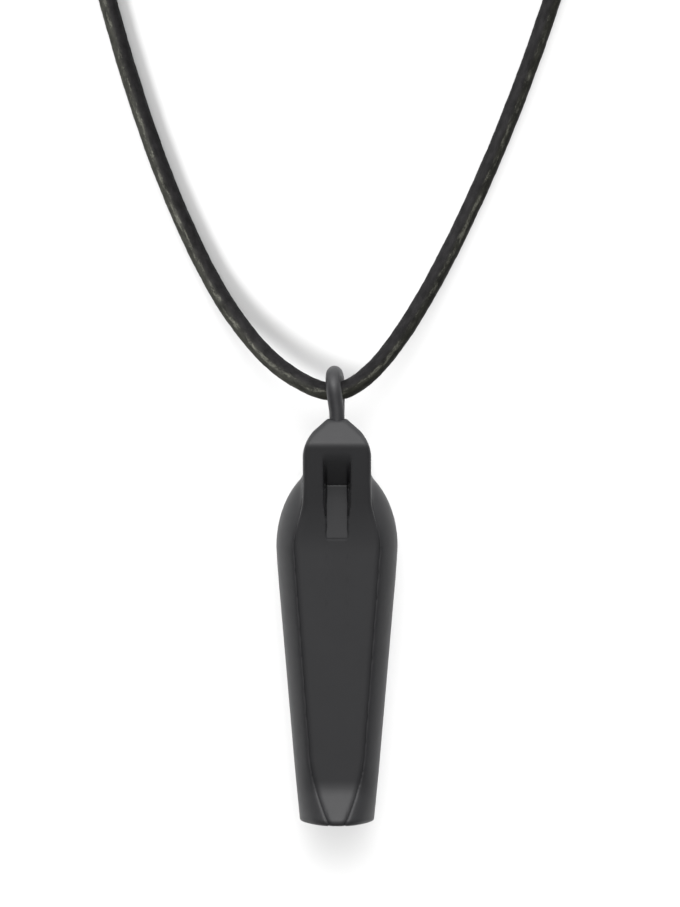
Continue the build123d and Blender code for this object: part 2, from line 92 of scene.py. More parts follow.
def new_material(name, color, roughness, metallic=0.0, specular=0.5):
    """A principled material; returns (material, node tree, shader node)."""
    material = bpy.data.materials.new(name)
    material.use_nodes = True
    tree = material.node_tree
    shader = tree.nodes["Principled BSDF"]
    shader.inputs["Base Color"].default_value = (*color, 1)
    shader.inputs["Roughness"].default_value = roughness
    shader.inputs["Metallic"].default_value = metallic
    shader.inputs["Specular IOR Level"].default_value = specular
    return material, tree, shader


def node(tree, kind, **values):
    """A node with some of its sockets or properties set by name."""
    made = tree.nodes.new(kind)
    for name, value in values.items():
        if hasattr(made, name):
            setattr(made, name, value)
        else:
            made.inputs[name.replace("_", " ").title()].default_value = value
    return made


def place(tree, stretch=(1, 1, 1), attribute=None):
    """The point that a pattern is made at: in the object's own metres, or from an attribute."""
    if attribute:
        source = node(tree, "ShaderNodeAttribute", attribute_name=attribute).outputs["Vector"]
    else:
        source = tree.nodes.new("ShaderNodeTexCoord").outputs["Object"]
    mapping = tree.nodes.new("ShaderNodeMapping")
    mapping.inputs["Scale"].default_value = stretch
    tree.links.new(source, mapping.inputs["Vector"])
    return mapping.outputs["Vector"]


def noise(tree, vector, scale, detail=3.0, roughness=0.55):
    """A noise pattern: scale is in repeats per metre."""
    made = node(tree, "ShaderNodeTexNoise", scale=scale, detail=detail, roughness=roughness)
    tree.links.new(vector, made.inputs["Vector"])
    return made.outputs["Fac"]


def ramp(tree, value, stops):
    """A colour ramp of (position, colour) stops."""
    made = tree.nodes.new("ShaderNodeValToRGB")
    elements = made.color_ramp.elements
    while len(elements) < len(stops):
        elements.new(0.5)
    for element, (position, color) in zip(elements, stops):
        element.position = position
        element.color = (*color, 1)
    tree.links.new(value, made.inputs["Fac"])
    return made.outputs["Color"]


def spread(tree, value, low, high, from_low=0.3, from_high=0.7):
    """Maps a value onto the range from low to high."""
    made = tree.nodes.new("ShaderNodeMapRange")
    made.inputs["From Min"].default_value = from_low
    made.inputs["From Max"].default_value = from_high
    made.inputs["To Min"].default_value = low
    made.inputs["To Max"].default_value = high
    tree.links.new(value, made.inputs["Value"])
    return made.outputs["Result"]


def add_bump(tree, shader, height, depth, strength=1.0, under=None):
    """A bump of a height pattern, depth in metres, on top of an earlier bump if one is given."""
    bump = tree.nodes.new("ShaderNodeBump")
    bump.inputs["Strength"].default_value = strength
    bump.inputs["Distance"].default_value = depth
    tree.links.new(height, bump.inputs["Height"])
    if under:
        tree.links.new(under, bump.inputs["Normal"])
    tree.links.new(bump.outputs["Normal"], shader.inputs["Normal"])
    return bump.outputs["Normal"]


def multiply(tree, first, second):
    """The product of two values."""
    made = node(tree, "ShaderNodeMath", operation="MULTIPLY")
    tree.links.new(first, made.inputs[0])
    tree.links.new(second, made.inputs[1])
    return made.outputs["Value"]


def mix(tree, factor, low, high):
    """A blend between two fixed colours."""
    return ramp(tree, factor, [(0.0, low), (1.0, high)])


def mix_colors(tree, way, factor, first, second):
    """A colour mix in which the factor and the colours may be sockets or plain values."""
    made = node(tree, "ShaderNodeMix", data_type="RGBA", blend_type=way)
    for socket, value in ((made.inputs[0], factor), (made.inputs[6], first), (made.inputs[7], second)):
        if isinstance(value, bpy.types.NodeSocket):
            tree.links.new(value, socket)
        else:
            socket.default_value = value
    return made.outputs[2]


def shade(color, factor):
    """A colour made lighter or darker."""
    return tuple(factor * c for c in color)


SHELL_COLOR = (0.0242, 0.0242, 0.0258)
BAIL_COLOR = (0.020, 0.020, 0.022)
CORD_DARK = (0.0040, 0.0036, 0.0040)
# painted light: colour of the side of the cord that is painted lighter, as if lit from that side
CORD_PAINTED_LIT = (0.0115, 0.0115, 0.0088)
# painted highlight: colour of the pale specks in a band along the cord's lit side
CORD_HIGHLIGHT_SPECK = (0.075, 0.075, 0.062)
CORK_COLOR = (0.44, 0.27, 0.13)


def shell_material():
    """Fine-textured dark moulding, a little uneven in tone and gloss."""
    material, tree, shader = new_material("shell_moulding", SHELL_COLOR, roughness=0.46,
                                          specular=0.33)
    at = place(tree)
    tone = noise(tree, at, scale=160, detail=4)
    color = ramp(tree, tone, [(0.25, shade(SHELL_COLOR, 0.95)), (0.75, shade(SHELL_COLOR, 1.05))])
    tree.links.new(color, shader.inputs["Base Color"])
    grain = noise(tree, at, scale=5200, detail=2, roughness=0.6)
    gloss = spread(tree, noise(tree, at, scale=420, detail=5), low=0.45, high=0.49)
    tree.links.new(gloss, shader.inputs["Roughness"])
    soft = add_bump(tree, shader, noise(tree, at, scale=900, detail=3), depth=0.00001, strength=0.5)
    add_bump(tree, shader, grain, depth=0.000012, strength=0.5, under=soft)
    return material


def bail_material():
    """Satin coating over the bent wire, its gloss more uneven than the moulding's."""
    material, tree, shader = new_material("bail_wire", BAIL_COLOR, roughness=0.4)
    at = place(tree)
    tone = noise(tree, at, scale=700, detail=4)
    color = ramp(tree, tone, [(0.3, shade(BAIL_COLOR, 0.88)), (0.7, shade(BAIL_COLOR, 1.12))])
    tree.links.new(color, shader.inputs["Base Color"])
    gloss = spread(tree, noise(tree, at, scale=1500, detail=4), low=0.42, high=0.52)
    tree.links.new(gloss, shader.inputs["Roughness"])
    add_bump(tree, shader, noise(tree, at, scale=4200, detail=3), depth=0.00001, strength=0.4)
    return material


def cord_material():
    """Waxed leather cord, nearly black, with one side painted a lighter olive grey as painted light,
    and a broken band of fine pale specks across that side as a painted highlight."""
    material, tree, shader = new_material("cord_leather", CORD_DARK, roughness=0.6, specular=0.14)
    around = tree.nodes.new("ShaderNodeSeparateXYZ")
    tree.links.new(place(tree, (1, 1, 1), "strand"), around.inputs["Vector"])
    side = around.outputs["X"]
    radius = CORD / 2
    # painted light: the cord turns lighter olive towards one side of its cross-section
    painted_lit_side = spread(tree, side, 0.0, 1.0, -0.25 * radius, 0.35 * radius)
    mottle = noise(tree, place(tree, (1, 1, 0.5), "strand"), scale=900, detail=4, roughness=0.65)
    body = mix_colors(tree, "MULTIPLY", 1.0, mix(tree, painted_lit_side, CORD_DARK, CORD_PAINTED_LIT),
                      ramp(tree, mottle, [(0.3, (0.45, 0.45, 0.45)), (0.7, (1.8, 1.8, 1.8))]))
    # painted highlight: a band across the cord's side where fine pale specks stand in for a glint
    highlight_band = multiply(tree, spread(tree, side, 0.0, 1.0, -0.5 * radius, 0.1 * radius),
                    spread(tree, side, 1.0, 0.0, 0.4 * radius, 0.95 * radius))
    fine = noise(tree, place(tree, (1, 1, 0.4), "strand"), scale=7500, detail=3, roughness=0.75)
    broken = noise(tree, place(tree, (1, 1, 0.3), "strand"), scale=1300, detail=2)
    highlight_specks = multiply(tree, multiply(tree, fine, broken), highlight_band)
    highlight_amount = spread(tree, highlight_specks, 0.0, 1.0, 0.24, 0.38)
    color = mix_colors(tree, "MIX", highlight_amount, body, (*CORD_HIGHLIGHT_SPECK, 1))
    tree.links.new(color, shader.inputs["Base Color"])
    tree.links.new(spread(tree, mottle, low=0.75, high=0.5), shader.inputs["Roughness"])
    creases = noise(tree, place(tree, (1, 1, 0.6), "strand"), scale=2200, detail=6, roughness=0.7)
    add_bump(tree, shader, creases, depth=0.00012)
    return material


def metal_material(name, color, roughness, brushed=(1, 1, 1)):
    """Plated or bare metal with fine wear in its gloss."""
    material, tree, shader = new_material(name, color, roughness, metallic=1.0)
    at = place(tree, brushed)
    grain = noise(tree, at, scale=3800)
    wear = noise(tree, at, scale=900, detail=4)
    tone = ramp(tree, wear, [(0.3, shade(color, 0.8)), (0.7, shade(color, 1.2))])
    tree.links.new(tone, shader.inputs["Base Color"])
    gloss = spread(tree, grain, low=roughness - 0.08, high=roughness + 0.1)
    tree.links.new(gloss, shader.inputs["Roughness"])
    add_bump(tree, shader, grain, depth=0.000006, strength=0.4)
    return material


def rubber_material(name, color):
    """Soft matt rubber, uneven in tone."""
    material, tree, shader = new_material(name, color, roughness=0.8, specular=0.3)
    at = place(tree)
    tone = noise(tree, at, scale=1100, detail=4)
    tree.links.new(ramp(tree, tone, [(0.3, shade(color, 0.8)), (0.7, shade(color, 1.25))]),
                   shader.inputs["Base Color"])
    add_bump(tree, shader, noise(tree, at, scale=5000, detail=2), depth=0.00002, strength=0.5)
    return material


def gloss_material(name, color, roughness, transmission=0.0):
    """Clear or tinted polished plastic with faint flow marks."""
    material, tree, shader = new_material(name, color, roughness)
    shader.inputs["Transmission Weight"].default_value = transmission
    at = place(tree, (1, 0.3, 1))
    tone = noise(tree, at, scale=350)
    tree.links.new(ramp(tree, tone, [(0.3, shade(color, 0.85)), (0.7, shade(color, 1.15))]),
                   shader.inputs["Base Color"])
    add_bump(tree, shader, noise(tree, at, scale=1200, detail=2), depth=0.000008, strength=0.4)
    return material


def cork_material():
    """Cork with dark pores between its grains."""
    material, tree, shader = new_material("cork", CORK_COLOR, roughness=0.85)
    tone = noise(tree, place(tree), scale=1800, detail=5, roughness=0.7)
    grain = ramp(tree, tone, [(0.36, shade(CORK_COLOR, 0.35)), (0.48, CORK_COLOR),
                              (0.7, shade(CORK_COLOR, 1.35))])
    tree.links.new(grain, shader.inputs["Base Color"])
    add_bump(tree, shader, tone, depth=0.00008, strength=0.8)
    return material


MATERIALS = {
    "shell_moulding": shell_material(),
    "bail_wire": bail_material(),
    "pin_metal": metal_material("pin_metal", (0.55, 0.55, 0.57), roughness=0.35),
    "inlet_rubber": rubber_material("inlet_rubber", (0.022, 0.022, 0.023)),
    "seal_rubber": rubber_material("seal_rubber", (0.3, 0.06, 0.03)),
    "tone_moulding": gloss_material("tone_moulding", (0.36, 0.2, 0.05), 0.18, transmission=0.35),
    "reed_film": gloss_material("reed_film", (0.78, 0.78, 0.74), 0.25, transmission=0.6),
    "cork": cork_material(),
    "cord_leather": cord_material(),
    "clasp_metal": metal_material("clasp_metal", (0.075, 0.075, 0.08), roughness=0.32),
    "spring_steel": metal_material("spring_steel", (0.5, 0.5, 0.5), 0.25, brushed=(1, 1, 0.2)),
}


def dress(piece, slot_name):
    """Gives a piece the material of its slot, and no other."""
    piece.data.materials.clear()
    piece.data.materials.append(MATERIALS[slot_name])


for subpart in frame["record"]["subparts"]:
    dress(nodes[subpart["node"]], subpart["material_slot"])
    for face in nodes[subpart["node"]].data.polygons:
        face.use_smooth = True


# =====================================================================================
# Neck cord
# =====================================================================================

FLOOR_Z = CORD / 2       # height of the cord's middle where it lies on the table
ON_TOP_Z = 0.00455       # and where it lies on itself
ROUTE = [
    (-0.0454, 0.1242, FLOOR_Z),
    (-0.0404, 0.1065, FLOOR_Z),
    (-0.0350, 0.0870, FLOOR_Z),
    (-0.0286, 0.0685, FLOOR_Z),
    (-0.0204, 0.0509, FLOOR_Z + 0.0003),
    (-0.0124, 0.0402, 0.0054),
    (-0.0060, 0.0355, 0.0085),
    (-0.0007, 0.0335, 0.00925),
    (0.0043, 0.0356, 0.0085),
    (0.0104, 0.0426, 0.0052),
    (0.0180, 0.0555, FLOOR_Z + 0.0003),
    (0.0262, 0.0730, FLOOR_Z),
    (0.0332, 0.0910, FLOOR_Z),
    (0.0386, 0.1075, FLOOR_Z),
    (0.0441, 0.1236, FLOOR_Z),
]
ROUTE_BEND = 8           # the first route point on the right of the bail

COIL_R = 0.0161          # radius of the put-away turns
TURN_POINTS = 16         # spline points in a whole turn
CLIMB_START = math.radians(312)   # how far round a turn the cord starts to climb onto itself
CLIMB_TURN = math.radians(44)     # how much of the turn the climb takes
LEFT_EXIT = math.radians(105)     # where on its turn the cord leaves for the closure
RIGHT_EXIT = math.radians(75)
EXIT_RUN = 0.006         # straight run where it leaves

CLOSURE = (0.1482, 0.00235)       # Y and Z of the line of the clasp
CAP_MOUTH_X = 0.017
CAP_FLOOR_X = 0.012
CAP_RUN = 0.0043         # straight run in front of an end cap

CORD_STEP = 0.0004       # length of one ring of its mesh
CORD_SIDES = 24
SPLINE_STEPS = 16        # lines between two points of the route, before they are made even
CORD_UNEVENNESS = 0.022  # share of its radius
WAVES = (0.0011, 0.0019, 0.0031, 0.0052, 0.0087, 0.014)      # lengths of its waves
WAVE_SEED = 7


def coil_points(route_end, before, leave, way):
    """The points of a put-away turn and a quarter, from where the route runs onto it."""
    heading = math.atan2(route_end[1] - before[1], route_end[0] - before[0])
    join = heading - way * math.pi / 2
    centre_x = route_end[0] - COIL_R * math.cos(join)
    centre_y = route_end[1] - COIL_R * math.sin(join)
    total = 2 * math.pi + (way * (leave - join)) % (2 * math.pi)
    count = round(total / (2 * math.pi) * TURN_POINTS)
    step = total / count
    bulge = (3 + math.cos(step)) / 4      # how near the spline comes to its points, as a share
    radius = COIL_R / bulge
    points = []
    for i in range(1, count + 1):
        climb = min(1, max(0, (i * step - CLIMB_START) / CLIMB_TURN))
        angle = join + way * i * step
        points.append((centre_x + radius * math.cos(angle), centre_y + radius * math.sin(angle),
                       FLOOR_Z + climb * (ON_TOP_Z - FLOOR_Z)))
    return points


def end_points(last, leave, way):
    """From the top of a turn straight on, then down into the end cap."""
    out_x = last[0] - EXIT_RUN * way * math.sin(leave)
    out_y = last[1] + EXIT_RUN * way * math.cos(leave)
    return [
        (out_x, out_y, ON_TOP_Z),
        (way * (CAP_MOUTH_X + CAP_RUN), CLOSURE[0], CLOSURE[1]),
        (way * CAP_FLOOR_X, CLOSURE[0], CLOSURE[1]),
    ]


def cord_points():
    """The whole cord, from inside the left end cap to inside the right one."""
    left = coil_points(ROUTE[0], ROUTE[1], LEFT_EXIT, -1)
    right = coil_points(ROUTE[-1], ROUTE[-2], RIGHT_EXIT, 1)
    left += end_points(left[-1], LEFT_EXIT, -1)
    right += end_points(right[-1], RIGHT_EXIT, 1)
    return left[::-1] + ROUTE + right


def smooth_line(points):
    """The line of a quadratic NURBS spline through space, in even steps."""
    curve = bpy.data.curves.new("route", "CURVE")
    curve.dimensions = "3D"
    spline = curve.splines.new("NURBS")
    spline.points.add(len(points) - 1)
    for point, place_at in zip(spline.points, points):
        point.co = (*place_at, 1)
    spline.order_u = 3
    spline.use_endpoint_u = True
    curve.resolution_u = SPLINE_STEPS
    mesh = bpy.data.meshes.new_from_object(bpy.data.objects.new("route", curve))
    line = np.array([v.co for v in mesh.vertices], float)
    along = np.concatenate([[0], np.cumsum(np.linalg.norm(np.diff(line, axis=0), axis=1))])
    even = np.linspace(0, along[-1], int(along[-1] / CORD_STEP) + 1)
    return np.stack([np.interp(even, along, line[:, k]) for k in range(3)], axis=1)


def wobble(along, around, seed):
    """A smooth repeatable unevenness from a few sine waves, mostly between -1 and 1."""
    total = np.zeros(np.broadcast(along, around).shape)
    rng = np.random.default_rng(seed)
    for wave in WAVES:
        turns = rng.integers(0, 4)
        shift = rng.uniform(0, 2 * math.pi)
        total = total + np.sin(2 * math.pi * along / wave + turns * around + shift)
    return 2 * total / len(WAVES)


def tube_mesh(name, line, radius, sides, unevenness):
    """A closed tube along a line, with its own along-and-around place in an attribute."""
    along = np.concatenate([[0], np.cumsum(np.linalg.norm(np.diff(line, axis=0), axis=1))])
    tangent = np.gradient(line, axis=0)
    tangent /= np.linalg.norm(tangent, axis=1)[:, None]
    side = np.zeros_like(line)
    side[0] = np.cross(tangent[0], (0, 0, 1))
    for i in range(1, len(line)):
        side[i] = side[i - 1] - (side[i - 1] @ tangent[i]) * tangent[i]
        side[i] /= np.linalg.norm(side[i])
    up = np.cross(side, tangent)
    angle = np.linspace(0, 2 * math.pi, sides, endpoint=False)
    size = radius * (1 + unevenness * wobble(along[:, None], angle[None, :], WAVE_SEED))
    ring = (np.cos(angle)[None, :, None] * side[:, None, :]
            + np.sin(angle)[None, :, None] * up[:, None, :])
    points = line[:, None, :] + size[:, :, None] * ring
    strand = np.stack([size * np.cos(angle), size * np.sin(angle),
                       np.broadcast_to(along[:, None], size.shape)], axis=2)
    count = len(line)
    faces = []
    for i in range(count - 1):
        for j in range(sides):
            k = (j + 1) % sides
            faces.append((i * sides + j, i * sides + k, (i + 1) * sides + k, (i + 1) * sides + j))
    faces.append(tuple(range(sides))[::-1])
    faces.append(tuple(range((count - 1) * sides, count * sides)))
    mesh = bpy.data.meshes.new(name)
    mesh.from_pydata(points.reshape(-1, 3).tolist(), [], faces)
    attribute = mesh.attributes.new("strand", "FLOAT_VECTOR", "POINT")
    attribute.data.foreach_set("vector", strand.reshape(-1).astype(np.float32))
    mesh.shade_smooth()
    return mesh


def add_piece(name, mesh, slot_name, body, *replaced):
    """A piece of the visual model that rides on a body and stands for some of the CAD nodes."""
    piece = bpy.data.objects.new(name, mesh)
    bpy.context.scene.collection.objects.link(piece)
    dress(piece, slot_name)
    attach(piece, body)
    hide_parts(*replaced)
    return piece


def make_cord():
    """The whole cord as one piece, with what is on its ends."""
    line = smooth_line(cord_points())
    mesh = tube_mesh("leather_cord", line, CORD / 2, CORD_SIDES, CORD_UNEVENNESS)
    piece = add_piece("leather_cord", mesh, "cord_leather", "neck_cord",
                      "neck_cord", "left_coil", "right_coil", "left_tail", "right_tail")


make_cord()


# =====================================================================================
# Casing: soft-edged moulded shells, worked out as distance fields in millimetres
# =====================================================================================

# The outline, seen from the front
TIP_Y = -37.6            # end of the mouthpiece, on the middle line
TIP_BULGE = 0.0015       # how fast the end falls back towards its sides
NECK_Y = 29.5            # end of the head, at the bail
WIDEST_Y = 8.33
HALF_WIDTH = 10.22
TAPER = 0.0859           # how fast each side closes in towards the mouthpiece
SHOULDER_LENGTH = 14.0
WAIST_ROUNDING = 0.11    # what the widest place loses, so that it has no corner
WAIST_LENGTH = 6.0
TUCK = 0.004             # how the mouthpiece's sides turn in a little more near its end
TUCK_START_Y = -28.0
TUCK_CURVE = 1.5
HEAD_HALF = 5.6
HEAD_CORNER = (HEAD_HALF, 25.9)
NECK_SLANT = (0.6626, 0.749)      # outward direction of the head's slanted shoulders
SLANT_ROUNDING = 2.0
NECK_ROUNDING = 0.2
PANEL_HALF = 7.15
PANEL_TAPER = 0.0744
HEAD_START_Y = 7.5       # from here the panel narrows to the head
HEAD_BLEND = 8.5
VEE_START_Y = -26.0      # the bite's V
VEE_DROP = 2.75
VEE_LENGTH = 10.3
VEE_CURVE = 1.6          # how late its sides turn in: 1 would be straight sides

# The heights, seen from the side
WIDE_LEVEL = 6.6         # height of the widest line of the body
WIDE_LEVEL_TIP = 5.4
UNDER_BULGE = 0.35       # how far the round back would reach below the flat land
RIDGE = (25.2, 16.45)
RIDGE_BLEND = 0.45
NECK_FALL = 0.541        # slope of the facet between the ridge and the bail
SWEEP_SLOPE = math.tan(math.radians(15.5))
SWEEP_END_Y = 11.5
SWEEP_BLEND = 1.0
PANEL_SLOPE = math.tan(math.radians(3.0))
BITE_SLOPE = math.tan(math.radians(26.0))       # of the ramp that the teeth hold
BITE_START_Y = -31.6
BITE_BLEND = 0.7

# The two halves and their edges
PARTING_Z = 8.6          # height at which the halves meet
SEAM = -0.15             # the halves press together here, with no gap
PANEL_FALL = 0.34        # how far the panel's edge sinks into the crease, and over what width
PANEL_FALL_REACH = 1.0
RIM_FALL = 0.09          # the same for the round half's rim
RIM_FALL_REACH = 0.5
FALL_MOST = 1.2          # the fall goes on a little past the edge, up to here
FIRM_EDGE = 0.1          # roundings, from sharp to soft
RIM_EDGE = 0.16
BOTTOM_EDGE = 0.25
LAND_EDGE = 0.3
BACK_EDGE = 0.7
SHOULDER_FILLET = 0.7
HEAD_EDGE_MORE = 0.75    # by how much the head's edge is rounder than the panel's
BITE_EDGE = 1.1
END_EDGE = 0.35
END_EDGE_MORE = 0.75     # by how much the mouthpiece's end is rounder above than below
END_SOFT_Z = 6.0
END_SOFT_HEIGHT = 4.0
HEAD_EDGE_Y = 14.0       # where the edge changes from the panel's kind to the head's
HEAD_EDGE_BLEND = 5.0

# The head's back: a slight rise, then a steep one
HEAD_BACK_Y = 12.0
HEAD_BACK_Z = 0.4
HEAD_BACK_SLOPE = 0.086
HEAD_TOP_Z = 12.0        # the round half's share of the head stays below this
NECK_BACK_Y = 24.8
NECK_BACK_Z = 1.5
NECK_BACK_SLOPE = 0.617
NECK_BACK_LEAN = 1.17    # length of a step up that slope

# The hollows inside: a box is its lowest and its highest corner
WALL = 1.6
FRONT_WALL = 1.8
INLET = ((-3.7, -45.0, 3.4), (3.7, -30.0, 7.8))
INLET_ROUNDING = 2.19
CHAMBER_Y = (-30.5, 3.0)
SEAT = ((-7.3, 3.0, 1.7), (7.3, 12.5, 10.1))
SEAT_ROUNDING = 1.5
BAIL_RADIUS = 1.25
BAIL_LEG_Z = (5.65, 12.85)
BAIL_LEG_Y = (22.4, 33.0)
BAIL_BAR_Y = 23.6
PIN_RADIUS = 0.75
PIN_X = (-4.1, 4.1)
PIN_Y = (15.4, 22.3)
PIN_Z = (6.1, 10.7)

# The outlet slot and the sound ramp in it
SLOT_HALF = 2.15
SLOT_CORNER = 0.25
SLOT_EDGE = 0.4
THROAT_Y = 17.9
THROAT_Z = 11.5
THROAT = ((-1.65, 14.0, 8.0), (1.65, THROAT_Y, 12.0))      # from the outlet up to the slot
OUTLET = ((-2.6, 12.4, 3.4), (2.6, THROAT_Y, 9.75))
WALL_SLOPE = 0.85        # of the slot's upper wall, which rises from the throat
GAP_LOW_Y = 12.2         # the gaps open from here, beside the ramp
GAP_WIDE_Y = 15.4        # to here
GAP_TOP_Y = 22.5         # and run out here, near the top of the upper wall
GAP_DEPTH = 0.75         # below the upper wall, at the throat
GAP_FLOOR_Z = 11.75
GAP_FLOOR_LEAN = 1.5
GAP_CLOSED = -0.2        # past the root the gap is less than none, so that it ends
GAP_EDGE = 0.12
RAMP_HALF = 1.75
RAMP_PRESS = 0.02        # how far the ramp's sides press into the cover at its root
RAMP_ROOT_Y = 9.6
RAMP_LOW_Z = 10.9
RAMP_HIGH_Z = 14.5
RAMP_EDGE = 0.05
RAMP_INSET = 0.03        # the ramp's root lies this far below the panel
RAMP_BED = 0.06          # the cover is cut away down to this far below the ramp's top
RAMP_BED_EDGE = 0.03
RAMP_DISH = 0.0045
LIP_Y = 18.6
RAMP_LIP_Z = 12.3
LIP_RISE = 0.02
LIP_RISE_Y = 16.5
LIP_EDGE_MORE = 0.2      # by how much the lip's edges are rounder than the root's
LIP_EDGE_Y = 15.0
LIP_EDGE_BLEND = 3.0
LIP_THICK = 0.35
UNDER_RAMP_SLOPE = 0.34
UNDER_RAMP_LEAN = 1.06

# The nets of points that the skins are made of
NET = 0.2
SHELL_NET = 1.25         # as a share of the cover's
RAMP_NET = 0.6


def smooth_max(a, b, reach):
    """The greater of two heights, blended where they differ by less than reach."""
    return np.maximum(a, b) + np.maximum(reach - np.abs(a - b), 0) ** 2 / (4 * reach)


def both(a, b, radius=0.0):
    """Distance to the overlap of two solids, with its edge rounded."""
    corner = np.hypot(np.maximum(a + radius, 0), np.maximum(b + radius, 0))
    return np.minimum(np.maximum(a, b), -radius) + corner


def either(a, b, radius=0.0):
    """Distance to two solids together, with the corner between them filled."""
    if radius == 0.0:
        return np.minimum(a, b)
    corner = np.hypot(np.maximum(radius - a, 0), np.maximum(radius - b, 0))
    return np.maximum(np.minimum(a, b), radius) - corner


def without(a, b, radius=0.0):
    """Distance to what is left of one solid after another is cut from it."""
    return both(a, -b, radius)


def box_field(x, y, z, low, high, radius=0.0):
    """Distance to a box between two corners, with rounded edges."""
    gaps = []
    for at, lowest, highest in zip((x, y, z), low, high):
        half = (highest - lowest) / 2 - radius
        gaps.append(np.abs(at - (highest + lowest) / 2) - half)
    outside = np.sqrt(sum(np.maximum(gap, 0) ** 2 for gap in gaps))
    inside = np.minimum(np.maximum(np.maximum(gaps[0], gaps[1]), gaps[2]), 0)
    return outside + inside - radius


def rod_field(x, y, z, centre, axis, radius, low, high):
    """Distance to a round rod along one axis, from low to high."""
    offsets = [at - middle for at, middle in zip((x, y, z), centre)]
    along = (x, y, z)[axis]
    across = [offset for i, offset in enumerate(offsets) if i != axis]
    return both(np.hypot(*across) - radius, np.abs(along - (low + high) / 2) - (high - low) / 2)


def panel_height(y):
    """Height of the flat panel and of the bite ramp that rises from it."""
    sweep_end_z = RIDGE[1] - (RIDGE[0] - SWEEP_END_Y) * SWEEP_SLOPE
    panel = sweep_end_z - (SWEEP_END_Y - y) * PANEL_SLOPE
    bite_start_z = sweep_end_z - (SWEEP_END_Y - BITE_START_Y) * PANEL_SLOPE
    bite = bite_start_z + (BITE_START_Y - y) * BITE_SLOPE
    return smooth_max(panel, bite, BITE_BLEND)


def front_height(y):
    """Height of the casing's front: bite ramp, panel, sweep, ridge and neck facet."""
    sweep = RIDGE[1] - (RIDGE[0] - y) * SWEEP_SLOPE
    neck = RIDGE[1] - (y - RIDGE[0]) * NECK_FALL
    rising = smooth_max(panel_height(y), sweep, SWEEP_BLEND)
    return -smooth_max(-rising, -neck, RIDGE_BLEND)


def vee_drop(vee):
    """How far each side of the panel has closed in, a given distance into the bite's vee."""
    return VEE_DROP * (vee / VEE_LENGTH) ** VEE_CURVE


def panel_half(y):
    """Half width of the panel, which tapers and ends in the bite's vee."""
    vee = np.maximum(VEE_START_Y - y, 0)
    return PANEL_HALF - PANEL_TAPER * (WIDEST_Y - y - vee) - vee_drop(vee)


def front_field(y, z, drop=0.0):
    """Distance to all that lies under the front, squared up to the local slope."""
    step = 0.05
    slope = (front_height(y + step) - front_height(y - step)) / (2 * step)
    return (z - front_height(y) + drop) / np.sqrt(1 + slope ** 2)


def edge_fall(inside, depth, reach):
    """How far a surface has sunk towards its edge, a given distance inside that edge."""
    return depth * np.clip(1 - inside / reach, 0, FALL_MOST) ** 2


def outline_field(x, y):
    """Distance from the outline of the head and panel, seen from the front."""
    blend = np.clip((y - HEAD_START_Y) / HEAD_BLEND, 0, 1)
    blend = blend * blend * (3 - 2 * blend)
    half = panel_half(y) * (1 - blend) + HEAD_HALF * blend
    side = np.abs(x) - half
    slant = ((np.abs(x) - HEAD_CORNER[0]) * NECK_SLANT[0]
             + (y - HEAD_CORNER[1]) * NECK_SLANT[1])
    return both(both(side, slant, SLANT_ROUNDING), y - NECK_Y, NECK_ROUNDING)


def end_field(x, y):
    """Distance past the mouthpiece's slightly round end."""
    return TIP_Y + TIP_BULGE * x ** 2 - y


def body_field(x, y, z, inset=0.0):
    """Distance to the casing's round body: half ellipses, flatter below than above."""
    station = np.minimum(y, WIDEST_Y)
    beyond = (y - station) / SHOULDER_LENGTH
    level = WIDE_LEVEL_TIP + (WIDE_LEVEL - WIDE_LEVEL_TIP) * (station - TIP_Y) / (WIDEST_Y - TIP_Y)
    rounding = WAIST_ROUNDING * (1 - np.minimum(1, (WIDEST_Y - station) / WAIST_LENGTH)) ** 2
    tuck = TUCK * np.maximum(0, TUCK_START_Y - y) ** TUCK_CURVE
    wide = HALF_WIDTH - rounding - TAPER * (WIDEST_Y - station) - tuck
    share = panel_half(station) / wide
    above = (panel_height(station) - level) / np.sqrt(1 - share ** 2)
    tall = np.where(z > level, above, level + UNDER_BULGE)
    size = np.sqrt((x / wide) ** 2 + ((z - level) / tall) ** 2 + beyond ** 2) + 1e-9
    steepness = np.sqrt((x / wide ** 2) ** 2 + ((z - level) / tall ** 2) ** 2
                        + (beyond / SHOULDER_LENGTH) ** 2) / size + 1e-9
    return (size - 1) / steepness + inset


def hollows(x, y, z):
    """The air passage, the tone plug's seat, and the bores for the bail and the pins."""
    inlet = box_field(x, y, z, *INLET, INLET_ROUNDING)
    chamber = both(body_field(x, y, z, WALL), front_field(y, z, FRONT_WALL))
    chamber = both(chamber, np.maximum(CHAMBER_Y[0] - y, y - CHAMBER_Y[1]))
    seat = box_field(x, y, z, *SEAT, SEAT_ROUNDING)
    outlet = box_field(x, y, z, *OUTLET)
    solid = either(either(inlet, chamber), either(seat, outlet))
    for leg_z in BAIL_LEG_Z:
        solid = either(solid, rod_field(x, y, z, (0, 0, leg_z), 1, BAIL_RADIUS, *BAIL_LEG_Y))
    solid = either(solid, rod_field(x, y, z, (0, BAIL_BAR_Y, 0), 2, BAIL_RADIUS, *BAIL_LEG_Z))
    for pin_x in PIN_X:
        for pin_y in PIN_Y:
            solid = either(solid, rod_field(x, y, z, (pin_x, pin_y, 0), 2, PIN_RADIUS, *PIN_Z))
    return solid


def outlet_slot(x, y, z):
    """The slot's sloping upper wall, and the throat that it leads to under the ramp's lip."""
    upper_wall = THROAT_Z + (y - THROAT_Y) * WALL_SLOPE
    above_wall = (upper_wall - z) / math.hypot(1, WALL_SLOPE)
    scoop = both(both(np.abs(x) - SLOT_HALF, above_wall, SLOT_CORNER), THROAT_Y - y)
    return either(scoop, box_field(x, y, z, *THROAT))


